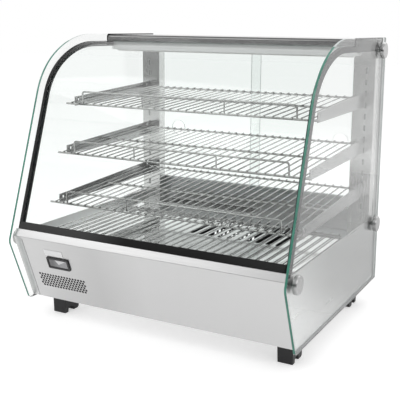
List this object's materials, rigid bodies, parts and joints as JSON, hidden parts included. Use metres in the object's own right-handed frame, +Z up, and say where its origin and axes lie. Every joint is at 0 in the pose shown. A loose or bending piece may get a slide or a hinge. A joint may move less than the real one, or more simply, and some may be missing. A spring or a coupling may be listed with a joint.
{
  "type": "heated display case",
  "caption": "Counter-top heated display case with a bent front glass, glass sides, tilted wire shelves on brackets, and rear sliding glass doors.",
  "frame": {"origin": "on the counter, under the middle of the case's overall box", "axes": "+Z up, +X to the right seen from the customer's side, the customer's side faces -Y"},
  "size_m": [0.7, 0.5959, 0.66],
  "materials": {
    "clear_glass": "clear toughened glass with green edges",
    "brushed_steel": "fine brushed stainless sheet",
    "bright_wire": "bright wire and plate",
    "cap_steel": "satin turned caps",
    "black_rubber": "matt black",
    "black_plastic": "fine black",
    "display_grey": "smoked display window",
    "white_diffuser": "milky lamp tube",
    "red_plastic": "red rocker",
    "aluminium": "plain extruded aluminium"
  },
  "bodies": {
    "case": {"side_glass_left": "clear_glass", "side_glass_right": "clear_glass", "front_glass": "clear_glass", "chassis": "brushed_steel", "front_panel": "brushed_steel", "deck_plate": "brushed_steel", "rear_sill": "brushed_steel", "back_panel": "brushed_steel", "post_left": "brushed_steel", "post_right": "brushed_steel", "top_cover": "brushed_steel", "top_frame": "brushed_steel", "lamp_housing": "brushed_steel", "water_tray": "brushed_steel", "shelf_top": "bright_wire", "shelf_middle": "bright_wire", "shelf_bottom": "bright_wire", "floor_rack": "bright_wire", "arm_top_left": "bright_wire", "arm_top_right": "bright_wire", "arm_middle_left": "bright_wire", "arm_middle_right": "bright_wire", "arm_bottom_left": "bright_wire", "arm_bottom_right": "bright_wire", "cap_front_left": "cap_steel", "cap_front_right": "cap_steel", "cap_rear_left": "cap_steel", "cap_rear_right": "cap_steel", "cap_top_left": "cap_steel", "cap_top_right": "cap_steel", "gasket_left": "black_rubber", "gasket_right": "black_rubber", "gasket_bottom": "black_rubber", "top_seal_left": "black_rubber", "top_seal_right": "black_rubber", "foot_front_left": "black_rubber", "foot_front_right": "black_rubber", "foot_rear_left": "black_rubber", "foot_rear_right": "black_rubber", "display_bezel": "black_plastic", "thermostat_body": "black_plastic", "power_switch_housing": "black_plastic", "lamp_switch_housing": "black_plastic", "cord_gland": "black_plastic", "display_module": "display_grey", "lamp_lens": "white_diffuser", "door_track_bottom": "aluminium", "door_track_top": "aluminium", "fan_motor": "aluminium", "heater_element": "aluminium"},
    "left_door": {"door_left": "clear_glass", "door_pull_left": "clear_glass"},
    "right_door": {"door_right": "clear_glass", "door_pull_right": "clear_glass"},
    "thermostat_knob": {"thermostat_knob": "black_plastic"},
    "power_rocker": {"power_switch_rocker": "red_plastic"},
    "lamp_rocker": {"lamp_switch_rocker": "black_plastic"},
    "impeller": {"fan_impeller": "aluminium"}
  },
  "joints": [
    {"name": "door_left_slide", "type": "slide", "parent": "case", "child": "left_door", "axis": [1, 0, 0], "range_m": [0, 0.26]},
    {"name": "door_right_slide", "type": "slide", "parent": "case", "child": "right_door", "axis": [1, 0, 0], "range_m": [-0.26, 0]},
    {"name": "thermostat_turn", "type": "hinge", "parent": "case", "child": "thermostat_knob", "pos_m": [0.285, 0.288, 0.128], "axis": [0, 1, 0], "range_deg": [0, 270]},
    {"name": "power_switch_rock", "type": "hinge", "parent": "case", "child": "power_rocker", "pos_m": [0.245, 0.28, 0.128], "axis": [1, 0, 0], "range_deg": [-6, 6]},
    {"name": "lamp_switch_rock", "type": "hinge", "parent": "case", "child": "lamp_rocker", "pos_m": [0.205, 0.28, 0.128], "axis": [1, 0, 0], "range_deg": [-6, 6]},
    {"name": "fan_spin", "type": "hinge", "parent": "case", "child": "impeller", "pos_m": [0.095, 0.052, 0.1357], "axis": [0, 0, 1], "continuous": true}
  ]
}
